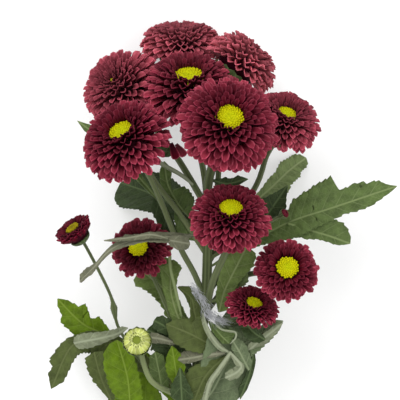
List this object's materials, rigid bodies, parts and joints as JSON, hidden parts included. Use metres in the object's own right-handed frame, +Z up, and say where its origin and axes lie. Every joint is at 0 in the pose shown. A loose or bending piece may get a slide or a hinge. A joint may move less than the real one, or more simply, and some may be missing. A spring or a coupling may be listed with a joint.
{
  "type": "pompon chrysanthemum spray",
  "caption": "Cut spray of dark red pompon chrysanthemums with lime-yellow centres, buds and lobed leaves, lying on its side.",
  "frame": {"origin": "centre of the bounding box at the table surface the spray lies on", "axes": "+Y along the stem from the cut end towards the blooms, +Z up from the table, +X to the right seen from above"},
  "size_m": [0.1787, 0.3247, 0.1073],
  "materials": {
    "crimson_petal": "soft, slightly velvety petals",
    "yellow_disc": "matte, grainy florets",
    "green_stem": "fresh green stem, finely ribbed",
    "pale_bud": "smooth pale green bud",
    "red_bud": "dark red bud",
    "dark_leaf": "fresh leaf, low sheen",
    "mid_leaf": "fresh leaf, low sheen",
    "bright_leaf": "leaf lit through, low sheen",
    "grey_leaf": "downy grey-green leaf"
  },
  "bodies": {
    "root": {"bud_green": "pale_bud", "bud_red": "red_bud", "disc_half_open": "yellow_disc", "disc_left": "yellow_disc", "disc_left_low": "yellow_disc", "disc_left_top": "yellow_disc", "disc_lowest": "yellow_disc", "disc_main": "yellow_disc", "disc_middle": "yellow_disc", "disc_right": "yellow_disc", "disc_right_low": "yellow_disc", "disc_right_top": "yellow_disc", "disc_top": "yellow_disc", "disc_upper": "yellow_disc", "leaf_behind_low": "bright_leaf", "leaf_left_dark": "dark_leaf", "leaf_left_long": "grey_leaf", "leaf_left_tip": "mid_leaf", "leaf_low_back": "bright_leaf", "leaf_low_bright": "bright_leaf", "leaf_low_left_bright": "bright_leaf", "leaf_low_left_dark": "dark_leaf", "leaf_low_middle": "dark_leaf", "leaf_low_right": "mid_leaf", "leaf_right_back": "mid_leaf", "leaf_right_dark": "dark_leaf", "leaf_right_large": "mid_leaf", "leaf_stem_right": "mid_leaf", "leaf_stems_back": "mid_leaf", "leaf_under_left": "dark_leaf", "leaf_under_main": "dark_leaf", "leaf_woolly": "grey_leaf", "petals_half_open": "crimson_petal", "petals_left": "crimson_petal", "petals_left_low": "crimson_petal", "petals_left_top": "crimson_petal", "petals_lowest": "crimson_petal", "petals_main": "crimson_petal", "petals_middle": "crimson_petal", "petals_right": "crimson_petal", "petals_right_low": "crimson_petal", "petals_right_top": "crimson_petal", "petals_top": "crimson_petal", "petals_upper": "crimson_petal", "stem": "green_stem"}
  },
  "joints": []
}
